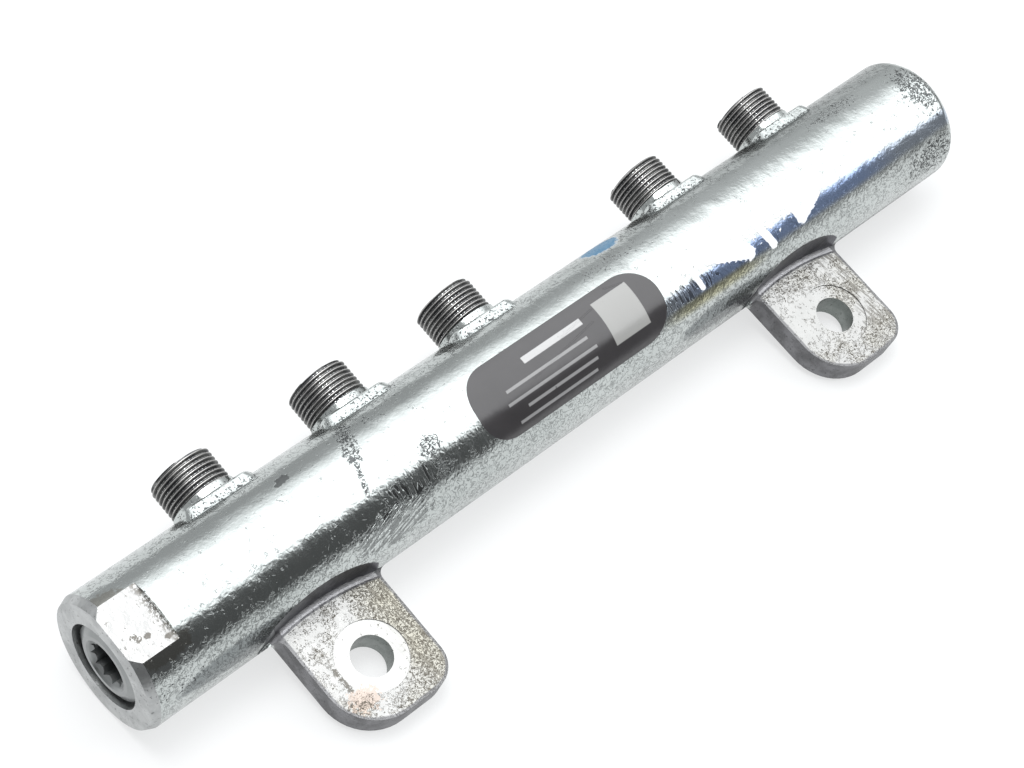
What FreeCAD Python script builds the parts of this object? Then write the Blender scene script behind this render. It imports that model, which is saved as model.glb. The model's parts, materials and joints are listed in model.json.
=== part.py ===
import FreeCAD, Part
import math, os
from FreeCAD import Vector

# A diesel engine's high-pressure fuel rail, in millimetres.
# It is one steel forging with five threaded pipe ports and two bolt lugs, a
# screwed plug that closes its drilled bore, and a foil label.
#
# The rail is drawn along +X from the middle of its plug end, with its ports
# towards +Y and the milled tops of its lugs facing +Z. At the end it is rolled
# about X until it lies as on a table, on its belly and on the tips of its
# lugs, and its origin goes to the middle of its outline at table height.

# Forged bar
rail_length = 234.8
rail_diameter = 29.4
face_chamfer_length = 1.8      # turned chamfer at the plug end
face_chamfer_depth = 0.8
far_edge_radius = 3.0          # forged edge of the blind end

# Flat milled on top at the plug end
flat_end = 10.1                # from the plug face to the shoulder of the flat
flat_height = 13.1             # above the rail's axis

# Pipe ports, counted from the plug end
first_port = 36.3
port_pitch = 35.0
middle_pitch = 58.0            # between the third and the fourth port
last_pitch = 35.5
port_reach = 23.8              # rim of each port, from the rail's axis
thread_diameter = 14.0
thread_length = 7.8
thread_chamfer = 0.35
collar_diameter = 14.5
seat_mouth = 9.4               # cone seat that the pipe's nipple is pulled onto
seat_angle = 60.0              # full angle of the cone
passage_diameter = 2.8

# Forged pad round the foot of each port
pad_reach = 14.3               # outer face, from the rail's axis
pad_root = 10.6                # height at which the pad's foot is measured
pad_top_length, pad_top_width = 16.8, 17.0
pad_foot_length, pad_foot_width = 19.8, 18.4
pad_corner = 2.6
pad_edge = 0.4                 # broken rim of the pad's outer face

# Bolt lugs
first_lug = 43.6
lug_pitch = 137.9
lug_width = 24.6
lug_reach = 40.2               # outer edge, from the rail's axis
lug_top = -2.2                 # milled top, from the rail's axis
lug_thickness = 6.5
lug_near_corner = 11.0
lug_far_corner = 6.0
lug_edge = 0.7                 # broken edge of the underside
lug_fillet = 2.0               # forging fillet where the lug leaves the bar
bolt_offset = 27.6             # bolt hole, from the rail's axis
bolt_hole = 8.8
spotface_diameter = 15.2
spotface_depth = 0.2

# Face cutter that milled the lug tops and bit into the side of the bar
cutter_radius = 60.0
cutter_shift = 3.5             # cutter's middle, from the lug's middle towards the plug end
cutter_bite = 12.6             # nearest point of the cut to the rail's axis
cutter_nose = 0.9

# Bore, drilled from the plug end
bore_diameter = 11.0
bore_end_wall = 13.0
drill_point = 118.0

# Thread, counterbore and cone seat for the plug
plug_thread = 18.0
plug_thread_end = 14.0
counterbore_diameter = 18.8
counterbore_depth = 2.8
plug_seat_angle = 60.0

# End plug
plug_recess = 0.3              # hub face behind the rail's face
plug_hub_diameter = 13.2
plug_shoulder_diameter = 16.8
plug_shoulder_drop = 0.9       # from the hub face down to the shoulder's rim
plug_nose_diameter = 13.0
socket_teeth = 12
socket_tip_diameter = 10.2     # across the bottoms of the tooth grooves
socket_root_diameter = 8.3     # across the tips of the teeth between them
socket_depth = 7.5
socket_chamfer = 0.5

# Foil label, wrapped on the bar
label_start = 86.4
label_length = 52.9
label_low_angle = 74.8         # about the rail's axis, from the ports' side
label_high_angle = 141.0
label_corner = 7.2
label_thickness = 0.15

rail_radius = rail_diameter / 2
along = Vector(1, 0, 0)
across = Vector(0, 1, 0)
upward = Vector(0, 0, 1)


def turned(profile, start, axis):
    """A solid of revolution from (distance along the axis, radius) corners."""
    side = across if axis is not across else along
    corners = [start + axis * place + side * radius for place, radius in profile]
    face = Part.Face(Part.makePolygon(corners + corners[:1]))
    return face.revolve(start, axis, 360)


def rounded_outline(length, width, radius, height, x):
    """A rounded rectangle round a port's axis, at a height along +Y."""
    half_x, half_z = length / 2, width / 2
    corners = [(1, 1), (-1, 1), (-1, -1), (1, -1)]
    pieces, ends = [], []
    for i, (sx, sz) in enumerate(corners):
        centre = Vector(x + sx * (half_x - radius), height, sz * (half_z - radius))
        first = math.radians(90 * i)
        spots = [centre + Vector(math.cos(first + turn), 0, math.sin(first + turn)) * radius
                 for turn in (0, math.pi / 4, math.pi / 2)]
        pieces.append(Part.Arc(*spots).toShape())
        ends.append((spots[0], spots[2]))
    for i in range(4):
        pieces.append(Part.LineSegment(ends[i][1], ends[(i + 1) % 4][0]).toShape())
    return Part.Wire(Part.__sortEdges__(pieces))


def bar():
    """The round bar, chamfered at the plug end and rounded at the blind end."""
    r, edge = rail_radius, far_edge_radius
    bend = Vector(rail_length - edge + edge * math.sin(math.pi / 4),
                  r - edge + edge * math.cos(math.pi / 4), 0)
    corners = [Vector(0, 0, 0), Vector(0, r - face_chamfer_depth, 0),
               Vector(face_chamfer_length, r, 0), Vector(rail_length - edge, r, 0)]
    tip, middle = Vector(rail_length, r - edge, 0), Vector(rail_length, 0, 0)
    wire = Part.Wire([Part.makePolygon(corners), Part.Arc(corners[-1], bend, tip).toShape(),
                      Part.makePolygon([tip, middle, corners[0]])])
    return Part.Face(wire).revolve(Vector(0, 0, 0), along, 360)


def port_places():
    """Distances of the five ports from the plug end."""
    places = [first_port]
    for step in (port_pitch, port_pitch, middle_pitch, last_pitch):
        places.append(places[-1] + step)
    return places


def port(x):
    """Forged pad, turned collar and threaded spigot of one port."""
    rim_length, rim_width = pad_top_length - 2 * pad_edge, pad_top_width - 2 * pad_edge
    pad = Part.makeLoft([rounded_outline(pad_foot_length, pad_foot_width, pad_corner, pad_root, x),
                         rounded_outline(pad_top_length, pad_top_width, pad_corner,
                                         pad_reach - pad_edge, x),
                         rounded_outline(rim_length, rim_width, pad_corner - pad_edge, pad_reach, x)],
                        True, True)
    thread_start = port_reach - thread_length
    spigot = turned([(bore_diameter / 2, 0), (bore_diameter / 2, collar_diameter / 2),
                     (thread_start, collar_diameter / 2), (thread_start, thread_diameter / 2),
                     (port_reach - thread_chamfer, thread_diameter / 2),
                     (port_reach, thread_diameter / 2 - thread_chamfer), (port_reach, 0)],
                    Vector(x, 0, 0), across)
    return pad.fuse(spigot)


def port_passage(x):
    """Cone seat in the rim of a port and the drilling from it into the bore."""
    mouth, hole = seat_mouth / 2, passage_diameter / 2
    cone = (mouth - hole) / math.tan(math.radians(seat_angle / 2))
    return turned([(0, 0), (0, hole), (port_reach - cone, hole), (port_reach, mouth),
                   (port_reach + 1, mouth), (port_reach + 1, 0)], Vector(x, 0, 0), across)


def lug_places():
    """Distances of the two lugs from the plug end."""
    return [first_lug, first_lug + lug_pitch]


def lug(x):
    """One bolt lug: a plate with a wide and a narrow rounded corner."""
    left, right, edge = x - lug_width / 2, x + lug_width / 2, -lug_reach
    near, far = lug_near_corner, lug_far_corner
    half = math.sin(math.pi / 4)
    z = lug_top - lug_thickness
    root_left, root_right = Vector(left, -bore_diameter / 2, z), Vector(right, -bore_diameter / 2, z)
    near_arc = [Vector(left, edge + near, z),
                Vector(left + near - near * half, edge + near - near * half, z),
                Vector(left + near, edge, z)]
    far_arc = [Vector(right - far, edge, z),
               Vector(right - far + far * half, edge + far - far * half, z),
               Vector(right, edge + far, z)]
    outline = Part.Wire([Part.makePolygon([root_right, root_left, near_arc[0]]),
                         Part.Arc(*near_arc).toShape(),
                         Part.makePolygon([near_arc[2], far_arc[0]]),
                         Part.Arc(*far_arc).toShape(),
                         Part.makePolygon([far_arc[2], root_right])])
    plate = Part.Face(outline).extrude(upward * lug_thickness)
    underside = [edge for edge in plate.Edges
                 if edge.BoundBox.ZMax < z + 0.01 and edge.CenterOfMass.y < -bore_diameter / 2 - 0.01]
    return plate.makeChamfer(lug_edge, underside)


def lug_cuts(x):
    """Milled top with its shoulder in the bar, spotface and bolt hole."""
    r, nose = cutter_radius, cutter_nose
    centre = Vector(x - cutter_shift, -cutter_bite - r, lug_top)
    above = rail_diameter
    flank = [Vector(r, 0, above), Vector(r, 0, nose)]
    bend = Vector(r - nose + nose * math.sin(math.pi / 4), 0, nose - nose * math.sin(math.pi / 4))
    foot = [Vector(r - nose, 0, 0), Vector(0, 0, 0), Vector(0, 0, above), flank[0]]
    section = Part.Wire([Part.makePolygon(flank), Part.Arc(flank[1], bend, foot[0]).toShape(),
                         Part.makePolygon(foot)])
    cutter = Part.Face(section).revolve(Vector(0, 0, 0), upward, 360)
    cutter.translate(centre)
    hole_centre = Vector(x, -bolt_offset, lug_top)
    spotface = Part.makeCylinder(spotface_diameter / 2, above, hole_centre - upward * spotface_depth)
    hole = Part.makeCylinder(bolt_hole / 2, above, hole_centre - upward * above / 2)
    return [cutter, spotface, hole]


def plug_seat_length():
    """Length of the cone that leads from the plug's thread down to the bore."""
    return (plug_thread - bore_diameter) / 2 / math.tan(math.radians(plug_seat_angle / 2))


def bore_cut():
    """Blind bore with the plug's counterbore, thread and cone seat."""
    r = bore_diameter / 2
    bottom = rail_length - bore_end_wall
    tip = r / math.tan(math.radians(drill_point / 2))
    return turned([(-1, 0), (-1, counterbore_diameter / 2), (counterbore_depth, counterbore_diameter / 2),
                   (counterbore_depth, plug_thread / 2), (plug_thread_end, plug_thread / 2),
                   (plug_thread_end + plug_seat_length(), r), (bottom - tip, r), (bottom, 0)],
                  Vector(0, 0, 0), along)


def flat_cut():
    """The flat milled on top at the plug end, up to its shoulder."""
    return Part.makeBox(flat_end + 1, rail_diameter, rail_diameter, Vector(-1, -rail_radius, flat_height))


def on_bar(edge):
    """True where an edge runs on the round of the bar, all along its length."""
    spots = [edge.valueAt(edge.FirstParameter + (edge.LastParameter - edge.FirstParameter) * share)
             for share in (0, 0.3, 0.6, 1)]
    return all(abs(math.hypot(spot.y, spot.z) - rail_radius) < 0.001 for spot in spots)


def with_lug_fillets(solid):
    """The forging with a fillet round the foot of each lug, up to its milled top."""
    feet = [edge for edge in solid.Edges
            if on_bar(edge) and edge.CenterOfMass.y < 0 and edge.CenterOfMass.z < lug_top - 0.01
            and any(abs(edge.CenterOfMass.x - place) < lug_width / 2 + 1 for place in lug_places())]
    return solid.makeFillet(lug_fillet, feet)


def rail_body():
    """The whole forging as machined."""
    solid = bar().multiFuse([port(x) for x in port_places()] + [lug(x) for x in lug_places()])
    solid = with_lug_fillets(solid)
    cuts = [bore_cut(), flat_cut()] + [port_passage(x) for x in port_places()]
    for x in lug_places():
        cuts += lug_cuts(x)
    return solid.cut(cuts).removeSplitter()


def socket_cut():
    """Twelve-tooth tool socket with a chamfered mouth."""
    tip, root = socket_tip_diameter / 2, socket_root_diameter / 2
    points = []
    for i in range(2 * socket_teeth):
        radius = tip if i % 2 == 0 else root
        angle = math.pi * i / socket_teeth
        points.append(Vector(plug_recess, radius * math.cos(angle), radius * math.sin(angle)))
    star = Part.Face(Part.makePolygon(points + points[:1])).extrude(along * socket_depth)
    mouth = Part.makeCone(tip + socket_chamfer, tip - socket_chamfer, 2 * socket_chamfer,
                          Vector(plug_recess, 0, 0), along)
    return [star, mouth]


def end_plug():
    """Screw plug that closes the bore, sealed by its cone nose."""
    hub_rim = plug_recess + plug_shoulder_drop
    r, nose = plug_thread / 2, plug_nose_diameter / 2
    nose_start = plug_thread_end
    nose_end = nose_start + (r - nose) / math.tan(math.radians(plug_seat_angle / 2))
    body = turned([(plug_recess, 0), (plug_recess, plug_hub_diameter / 2),
                   (hub_rim, plug_shoulder_diameter / 2), (counterbore_depth, plug_shoulder_diameter / 2),
                   (counterbore_depth, r), (nose_start, r), (nose_end, nose), (nose_end, 0)],
                  Vector(0, 0, 0), along)
    return body.cut(socket_cut())


def label_foil():
    """Thin label that follows the bar, with widely rounded corners."""
    turn = math.radians((label_low_angle + label_high_angle) / 2)
    half_angle = math.radians((label_high_angle - label_low_angle) / 2)
    out = Vector(0, math.cos(turn), math.sin(turn))
    side = out.cross(along)
    half_width = rail_radius * math.sin(half_angle)
    half_length = label_length / 2
    centre = Vector(label_start + half_length, 0, 0)
    shell = Part.makeCylinder(rail_radius + label_thickness, label_length, Vector(label_start, 0, 0), along)
    shell = shell.cut(Part.makeCylinder(rail_radius, label_length, Vector(label_start, 0, 0), along))
    block = Part.makeBox(label_length, 2 * half_width, rail_diameter, Vector(-half_length, -half_width, 0))
    upright = [edge for edge in block.Edges if abs(edge.tangentAt(edge.FirstParameter).z) > 0.9]
    block = block.makeFillet(label_corner, upright)
    block.Placement = FreeCAD.Placement(centre, FreeCAD.Rotation(along, side, out, "ZXY"))
    return shell.common(block)


def lie_down(shapes):
    """Roll the rail onto its belly and lug tips, and set its origin."""
    reach, drop = lug_reach - lug_edge, lug_thickness - lug_top
    roll = math.asin(rail_radius / math.hypot(reach, drop)) - math.atan2(drop, reach)
    for shape in shapes:
        shape.rotate(Vector(0, 0, 0), along, math.degrees(roll))
    box = shapes[0].optimalBoundingBox(False)
    for shape in shapes:
        shape.translate(Vector(-box.Center.x, -box.Center.y, rail_radius))


parts = {"rail_body": rail_body(), "end_plug": end_plug(), "label_foil": label_foil()}
lie_down(list(parts.values()))

os.makedirs("parts", exist_ok=True)
for name, shape in parts.items():
    shape.exportStep("parts/" + name + ".step")
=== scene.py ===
# %% [markdown]
# ## A forged fuel rail
#
# A fuel rail is the steel bar that holds a diesel engine's fuel under pressure.
# It is forged in one piece, zinc plated, and then drilled, turned and milled.
# The bar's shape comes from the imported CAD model. These cells add what the eye
# sees on it: real threads, a foil label, paint, and steel that has been used.

# %% Load the CAD model
import math

import bpy
from mathutils import Matrix, Vector
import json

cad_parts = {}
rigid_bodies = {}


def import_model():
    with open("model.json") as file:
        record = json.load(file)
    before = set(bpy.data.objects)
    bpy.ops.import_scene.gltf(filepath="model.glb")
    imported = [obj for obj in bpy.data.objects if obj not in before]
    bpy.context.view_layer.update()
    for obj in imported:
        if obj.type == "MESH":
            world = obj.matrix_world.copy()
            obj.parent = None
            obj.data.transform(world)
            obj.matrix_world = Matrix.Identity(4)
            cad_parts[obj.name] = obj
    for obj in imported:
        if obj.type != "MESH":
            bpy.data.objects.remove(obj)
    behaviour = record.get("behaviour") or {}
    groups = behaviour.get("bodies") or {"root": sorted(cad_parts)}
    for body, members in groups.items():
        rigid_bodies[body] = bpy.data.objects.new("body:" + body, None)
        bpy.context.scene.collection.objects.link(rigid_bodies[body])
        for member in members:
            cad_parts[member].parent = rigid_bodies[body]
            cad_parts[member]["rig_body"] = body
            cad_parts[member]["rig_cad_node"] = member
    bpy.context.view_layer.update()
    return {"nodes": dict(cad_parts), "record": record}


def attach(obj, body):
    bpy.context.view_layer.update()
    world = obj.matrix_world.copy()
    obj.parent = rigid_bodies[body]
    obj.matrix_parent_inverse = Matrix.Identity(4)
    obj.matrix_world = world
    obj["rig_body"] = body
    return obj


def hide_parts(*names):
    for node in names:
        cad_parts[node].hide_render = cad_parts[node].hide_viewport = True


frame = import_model()
record = frame["record"]
print("CAD nodes:", sorted(frame["nodes"]))

# %% [markdown]
# The CAD model lies as on a table, rolled a few degrees about its long axis, so
# nothing on it is square to the world. The pieces below are drawn square
# instead, with X along the bar from its plug end, Y towards the ports and Z up
# from the milled lugs, and are then laid down by one matrix. The record's first
# port gives that matrix: where the port is, and where it points.

# %% From the drawing to the table
BAR_RADIUS = 0.0147
FIRST_PORT = 0.0363
PORT_MIDDLE = 0.019725      # middle of the thread, from the bar's axis

ports = [mount for mount in record["mounts"] if mount["name"].startswith("port_")]
port_way = Vector(ports[0]["axis"])
ROLL = math.atan2(port_way.z, port_way.y)
PLUG_END = Vector(ports[0]["pos_m"]) - port_way * PORT_MIDDLE - Vector((FIRST_PORT, 0, 0))
LIE_DOWN = Matrix.Translation(PLUG_END) @ Matrix.Rotation(ROLL, 4, "X")
PORT_PLACES = [mount["pos_m"][0] - PLUG_END.x for mount in ports]
print("rolled by", round(math.degrees(ROLL), 2), "degrees; ports at",
      [round(1000 * place, 1) for place in PORT_PLACES], "mm")


def deselect():
    """Start a step with nothing selected."""
    if bpy.context.object and bpy.context.object.mode != "OBJECT":
        bpy.ops.object.mode_set(mode="OBJECT")
    bpy.ops.object.select_all(action="DESELECT")


def pick(piece):
    """Make one piece the only selected and active object."""
    deselect()
    piece.select_set(True)
    bpy.context.view_layer.objects.active = piece


def name_it(name):
    """Name the piece that an operator has just made."""
    piece = bpy.context.object
    piece.name = piece.data.name = name
    return piece


def move_by(piece, matrix):
    """Move a piece, and leave its object at the origin with its place in its mesh."""
    pick(piece)
    piece.matrix_world = matrix
    bpy.ops.object.transform_apply(location=True, rotation=True, scale=True)


# %% [markdown]
# The camera stands where the photograph was taken. Its place, direction and
# lens were worked out from the bar's outline, the port rims and the bolt holes.
# It is tipped sideways too, which lays the bar along the picture's diagonal.

# %% Camera
bpy.ops.object.camera_add(location=(-0.251514, -0.149883, 0.397832),
                          rotation=[math.radians(turn) for turn in (35.7501, -9.5965, -43.6299)])
camera = bpy.context.object
camera.data.lens = 81.36
camera.data.sensor_width = 36
camera.data.clip_start = 0.01
camera.data.clip_end = 50
bpy.context.scene.camera = camera
bpy.context.scene.view_settings.view_transform = "Standard"

# %% [markdown]
# Bare metal shows little but its surroundings, so they matter as much as the
# steel. In the photograph a wide lamp overhead makes the broad white stripe
# along the bar. The dark room below it makes the charcoal stripe, and the white
# table the pale belly. The world here is such a room: bright over a wide angle
# above the bar, dark towards the side the camera stands on, pale at table
# height. It is worked out from directions alone, so it stays put in any view.

# %% Node helpers
def feed(tree, socket, source):
    """Give a socket a value, or link it to another socket."""
    if isinstance(source, bpy.types.NodeSocket):
        tree.links.new(source, socket)
    elif source is not None:
        socket.default_value = source


def calc(tree, operation, *sources, clamp=False):
    """A Math node."""
    node = tree.nodes.new("ShaderNodeMath")
    node.operation = operation
    node.use_clamp = clamp
    for socket, source in zip(node.inputs, sources):
        feed(tree, socket, source)
    return node.outputs[0]


def between(tree, source, low, high, start=0.0, end=1.0):
    """A smooth step from start to end while the source goes from low to high."""
    node = tree.nodes.new("ShaderNodeMapRange")
    node.interpolation_type = "SMOOTHSTEP"
    for socket, given in zip(node.inputs, (source, low, high, start, end)):
        feed(tree, socket, given)
    return node.outputs[0]


def vector_calc(tree, operation, first, second=None):
    """A Vector Math node."""
    node = tree.nodes.new("ShaderNodeVectorMath")
    node.operation = operation
    feed(tree, node.inputs[0], first)
    feed(tree, node.inputs[1], second)
    return node.outputs["Value" if operation in ("LENGTH", "DOT_PRODUCT", "DISTANCE") else "Vector"]


def blend_colour(tree, share, first, second, kind="MIX"):
    """A Mix node for colours."""
    node = tree.nodes.new("ShaderNodeMix")
    node.data_type = "RGBA"
    node.blend_type = kind
    feed(tree, node.inputs["Factor"], share)
    feed(tree, node.inputs[6], first)
    feed(tree, node.inputs[7], second)
    return node.outputs[2]


def noise(tree, point, scale, detail=2.0, rough=0.5, bend=0.0):
    """A Noise texture's value."""
    node = tree.nodes.new("ShaderNodeTexNoise")
    feed(tree, node.inputs["Vector"], point)
    feed(tree, node.inputs["Scale"], scale)
    node.inputs["Detail"].default_value = detail
    node.inputs["Roughness"].default_value = rough
    node.inputs["Distortion"].default_value = bend
    return node.outputs["Fac"]


def stretched(tree, point, length, width, turn):
    """Coordinates for marks of a length and a width, turned about Z."""
    node = tree.nodes.new("ShaderNodeMapping")
    node.vector_type = "TEXTURE"
    feed(tree, node.inputs["Vector"], point)
    node.inputs["Rotation"].default_value = (0, 0, turn)
    node.inputs["Scale"].default_value = (length, width, width)
    return node.outputs[0]


# %% World
world = bpy.data.worlds.new("studio")
bpy.context.scene.world = world
world.use_nodes = True
sky = world.node_tree
sky.nodes.clear()
direction = sky.nodes.new("ShaderNodeTexCoord").outputs["Generated"]
split = sky.nodes.new("ShaderNodeSeparateXYZ")
feed(sky, split.inputs[0], direction)
x, y, z = split.outputs
slope = calc(sky, "DEGREES", calc(sky, "ARCTAN2", z, y))
# The lamp isn't quite in line with the bar, so its edges drift along it.
upper_edge = calc(sky, "SUBTRACT", slope, between(sky, x, 0.56, 0.72, 0, 19))
lower_edge = calc(sky, "SUBTRACT", slope, between(sky, x, 0.40, 0.62, 0, 18))
lamp_span = calc(sky, "MULTIPLY", between(sky, upper_edge, 18, 66), between(sky, lower_edge, 129, 121))
lamp_ends = calc(sky, "MULTIPLY", between(sky, x, -0.5, -0.15), between(sky, x, 0.97, 0.75))
room = calc(sky, "ADD", between(sky, slope, 110, 80, 0.10, 0.5), between(sky, slope, 170, 182, 0, 0.5))
room = calc(sky, "ADD", room, between(sky, x, 0.5, 0.65, 0, 0.18))
lamp_share = calc(sky, "MULTIPLY", lamp_span, lamp_ends)
light = calc(sky, "ADD", room, calc(sky, "MULTIPLY", lamp_share, calc(sky, "SUBTRACT", 2.3, room)))
seen = sky.nodes.new("ShaderNodeLightPath").outputs["Is Camera Ray"]
strength = sky.nodes.new("ShaderNodeMix")
feed(sky, strength.inputs["Factor"], seen)
feed(sky, strength.inputs["A"], light)
feed(sky, strength.inputs["B"], 1.0)
background = sky.nodes.new("ShaderNodeBackground")
background.inputs["Color"].default_value = (0.97, 0.985, 1.0, 1)
feed(sky, background.inputs["Strength"], strength.outputs["Result"])
feed(sky, sky.nodes.new("ShaderNodeOutputWorld").inputs["Surface"], background.outputs[0])

# %% [markdown]
# One soft lamp hangs nearly overhead, so the shadow stays close to the bar. The
# table in the photograph is so brightly lit that it is almost white, and the
# shadow on it is faint. That comes from the table's own material: to the eye
# and in reflections it is partly self-lit paper, and it still takes the shadow.

# %% Lamp and table
bpy.ops.object.light_add(type="AREA", location=(-0.15, 0.18, 1.0))
lamp = bpy.context.object
lamp.rotation_euler = (Vector((0, 0, 0)) - lamp.location).to_track_quat("-Z", "Y").to_euler()
lamp.data.shape = "DISK"
lamp.data.size = 0.5
lamp.data.energy = 4.5

GLOW_SHARE = 0.7            # how far the table is self-lit to the eye
bpy.ops.mesh.primitive_plane_add(size=12)
floor = name_it("floor")
paper = bpy.data.materials.new("white_table")
paper.use_nodes = True
tree = paper.node_tree
skin = tree.nodes["Principled BSDF"]
skin.inputs["Base Color"].default_value = (0.88, 0.89, 0.895, 1)
skin.inputs["Roughness"].default_value = 0.9
skin.inputs["Specular IOR Level"].default_value = 0.1
glow = tree.nodes.new("ShaderNodeEmission")
glow.inputs["Color"].default_value = (0.975, 0.982, 0.985, 1)
ray = tree.nodes.new("ShaderNodeLightPath").outputs
mixer = tree.nodes.new("ShaderNodeMixShader")
looked_at = calc(tree, "MAXIMUM", ray["Is Camera Ray"], ray["Is Glossy Ray"])
feed(tree, mixer.inputs[0], calc(tree, "MULTIPLY", looked_at, GLOW_SHARE))
feed(tree, mixer.inputs[1], skin.outputs[0])
feed(tree, mixer.inputs[2], glow.outputs[0])
feed(tree, tree.nodes["Material Output"].inputs["Surface"], mixer.outputs[0])
floor.data.materials.append(paper)

# %% [markdown]
# ## Patterns that several finishes share
#
# Each pattern is a node group that is built once. The first one tells a
# material where it is on the bar: how far along, and at what angle round it,
# counted from the ports over the top. The others are the marks of forging and
# use: fine grain, small pits, patches where wear gathered, and scratches.

# %% Group: place on the bar
def new_group(name, inputs, outputs):
    """A shader node group with named sockets."""
    tree = bpy.data.node_groups.new(name, "ShaderNodeTree")
    for title, kind, default in inputs:
        socket = tree.interface.new_socket(name=title, in_out="INPUT", socket_type="NodeSocket" + kind)
        if default is not None:
            socket.default_value = default
    for title, kind in outputs:
        tree.interface.new_socket(name=title, in_out="OUTPUT", socket_type="NodeSocket" + kind)
    return tree, tree.nodes.new("NodeGroupInput").outputs, tree.nodes.new("NodeGroupOutput").inputs


def use(tree, group, **sources):
    """Place a node group in a tree and return its outputs."""
    node = tree.nodes.new("ShaderNodeGroup")
    node.node_tree = group
    for title, source in sources.items():
        feed(tree, node.inputs[title.replace("_", " ")], source)
    return node.outputs


PLACE, given, result = new_group("place_on_bar", [("Point", "Vector", None)],
                                 [("Along", "Float"), ("Angle", "Float"), ("Out", "Float"),
                                  ("Unrolled", "Vector"), ("Drawn", "Vector")])
upright = PLACE.nodes.new("ShaderNodeVectorRotate")
upright.rotation_type = "X_AXIS"
feed(PLACE, upright.inputs["Vector"], vector_calc(PLACE, "SUBTRACT", given["Point"], PLUG_END))
feed(PLACE, upright.inputs["Angle"], -ROLL)
split = PLACE.nodes.new("ShaderNodeSeparateXYZ")
feed(PLACE, split.inputs[0], upright.outputs[0])
angle = calc(PLACE, "DEGREES", calc(PLACE, "ARCTAN2", split.outputs[2], split.outputs[1]))
crosswise = vector_calc(PLACE, "MULTIPLY", upright.outputs[0], (0, 1, 1))
unrolled = PLACE.nodes.new("ShaderNodeCombineXYZ")
feed(PLACE, unrolled.inputs[0], split.outputs[0])
feed(PLACE, unrolled.inputs[1], calc(PLACE, "MULTIPLY", angle, math.radians(BAR_RADIUS)))
feed(PLACE, result["Along"], split.outputs[0])
feed(PLACE, result["Angle"], angle)
feed(PLACE, result["Out"], vector_calc(PLACE, "LENGTH", crosswise))
feed(PLACE, result["Unrolled"], unrolled.outputs[0])
feed(PLACE, result["Drawn"], upright.outputs[0])

# %% Group: forged grain
# The height is in millimetres: fine ripples of the skin on a slow swell.
GRAIN, given, result = new_group("forged_grain", [("Point", "Vector", None), ("Size", "Float", 0.0009),
                                                  ("Ripple", "Float", 0.1)], [("Height", "Float")])
scale = calc(GRAIN, "DIVIDE", 1.0, given["Size"])
fine = noise(GRAIN, given["Point"], scale, detail=1.2, rough=0.5, bend=0.4)
broad = noise(GRAIN, given["Point"], calc(GRAIN, "MULTIPLY", scale, 0.16), detail=1)
feed(GRAIN, result["Height"], calc(GRAIN, "ADD", calc(GRAIN, "MULTIPLY", fine, given["Ripple"]),
                                   calc(GRAIN, "MULTIPLY", broad, 0.18)))

# %% Group: pits
PITS, given, result = new_group("pits", [("Point", "Vector", None), ("Size", "Float", 0.0007),
                                         ("Amount", "Float", 0.3)], [("Mask", "Float")])
scale = calc(PITS, "DIVIDE", 1.0, given["Size"])
specks = noise(PITS, given["Point"], scale, detail=2, rough=0.55, bend=0.6)
level = calc(PITS, "SUBTRACT", 0.78, calc(PITS, "MULTIPLY", given["Amount"], 0.3))
feed(PITS, result["Mask"], between(PITS, specks, level, calc(PITS, "ADD", level, 0.035)))

# %% Group: worm marks
# Thin crooked lines are the places where a soft noise crosses its middle value.
WORMS, given, result = new_group("worm_marks", [("Point", "Vector", None), ("Size", "Float", 0.0012),
                                                ("Amount", "Float", 0.5)], [("Mask", "Float")])
scale = calc(WORMS, "DIVIDE", 1.0, given["Size"])
field = noise(WORMS, given["Point"], scale, detail=1.5, rough=0.5, bend=0.9)
line = between(WORMS, calc(WORMS, "ABSOLUTE", calc(WORMS, "SUBTRACT", field, 0.5)), 0.05, 0.025)
gate = noise(WORMS, given["Point"], calc(WORMS, "MULTIPLY", scale, 0.7), detail=2)
level = calc(WORMS, "SUBTRACT", 0.7, calc(WORMS, "MULTIPLY", given["Amount"], 0.4))
shown = between(WORMS, gate, level, calc(WORMS, "ADD", level, 0.06))
feed(WORMS, result["Mask"], calc(WORMS, "MULTIPLY", line, shown))

# %% Group: patch
# The mask of an oval with a torn edge, on the unrolled skin or on the drawing.
# The noise that tears the edge is worked out once in a material, and passed in.
PATCH, given, result = new_group("patch", [("Place", "Vector", None), ("Centre", "Vector", None),
                                           ("Reach", "Vector", None), ("Torn", "Float", 0.0),
                                           ("Ragged", "Float", 0.5)], [("Mask", "Float")])
off = vector_calc(PATCH, "SUBTRACT", given["Place"], given["Centre"])
off = vector_calc(PATCH, "LENGTH", vector_calc(PATCH, "DIVIDE", off, given["Reach"]))
torn = calc(PATCH, "MULTIPLY", given["Torn"], calc(PATCH, "MULTIPLY", given["Ragged"], 4.0))
feed(PATCH, result["Mask"], between(PATCH, calc(PATCH, "ADD", off, torn), 1.1, 0.85))

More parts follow.
